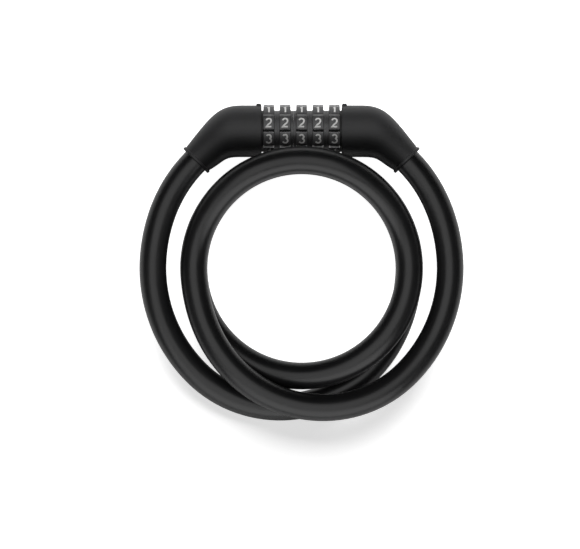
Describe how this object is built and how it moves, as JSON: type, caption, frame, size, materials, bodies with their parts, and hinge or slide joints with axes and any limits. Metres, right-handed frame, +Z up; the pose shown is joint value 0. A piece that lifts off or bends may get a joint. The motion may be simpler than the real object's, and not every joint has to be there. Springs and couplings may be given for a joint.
{
  "type": "combination cable lock",
  "caption": "Coiled black cable lock with a sliding pin plug, bent end sleeves and a barrel of numbered, notched dials",
  "frame": {"origin": "middle of the cable coil, on the floor that the coil lies on", "axes": "+X along the dial axis towards the plug end, +Y from the coil's middle to the dials, +Z up"},
  "size_m": [0.144, 0.1405, 0.0361],
  "materials": {
    "sheath": "smooth extruded black vinyl with a soft gloss",
    "wire_rope": "galvanised steel strands",
    "elbow": "fine satin black moulding",
    "grommet": "satin black moulding",
    "dial": "satin black with pale printed numbers",
    "numerals": "pale numbers printed on the dials",
    "sleeve": "natural acetal",
    "steel": "turned and plated steel",
    "washer_brass": "stamped brass"
  },
  "bodies": {
    "lock_body": {"cable_coil": "sheath", "rope_coil": "wire_rope", "left_elbow": "elbow", "left_grommet": "grommet", "left_ferrule": "steel", "left_cable_pin": "steel", "lock_core": "steel", "core_pin": "steel", "core_washer": "washer_brass", "core_clip": "steel", "detent_spring": "steel"},
    "dial_body_1": {"dial_1": "dial", "code_sleeve_1": "sleeve"},
    "dial_body_2": {"dial_2": "dial", "code_sleeve_2": "sleeve"},
    "dial_body_3": {"dial_3": "dial", "code_sleeve_3": "sleeve"},
    "dial_body_4": {"dial_4": "dial", "code_sleeve_4": "sleeve"},
    "dial_body_5": {"dial_5": "dial", "code_sleeve_5": "sleeve"},
    "plug": {"cable_tail": "sheath", "rope_tail": "wire_rope", "right_elbow": "elbow", "right_grommet": "grommet", "right_ferrule": "steel", "right_cable_pin": "steel", "locking_pin": "steel", "shaft_pin": "steel"}
  },
  "joints": [
    {"name": "dial_1_spin", "type": "hinge", "parent": "lock_body", "child": "dial_body_1", "pos_m": [-0.01454, 0.0608, 0.01747], "axis": [1, 0, 0], "continuous": true},
    {"name": "dial_2_spin", "type": "hinge", "parent": "lock_body", "child": "dial_body_2", "pos_m": [-0.00727, 0.0608, 0.01747], "axis": [1, 0, 0], "continuous": true},
    {"name": "dial_3_spin", "type": "hinge", "parent": "lock_body", "child": "dial_body_3", "pos_m": [0, 0.0608, 0.01747], "axis": [1, 0, 0], "continuous": true},
    {"name": "dial_4_spin", "type": "hinge", "parent": "lock_body", "child": "dial_body_4", "pos_m": [0.00727, 0.0608, 0.01747], "axis": [1, 0, 0], "continuous": true},
    {"name": "dial_5_spin", "type": "hinge", "parent": "lock_body", "child": "dial_body_5", "pos_m": [0.01454, 0.0608, 0.01747], "axis": [1, 0, 0], "continuous": true},
    {"name": "plug_slide", "type": "slide", "parent": "lock_body", "child": "plug", "axis": [1, 0, 0], "range_m": [0, 0.044], "deforming": ["cable_tail", "rope_tail"]}
  ]
}
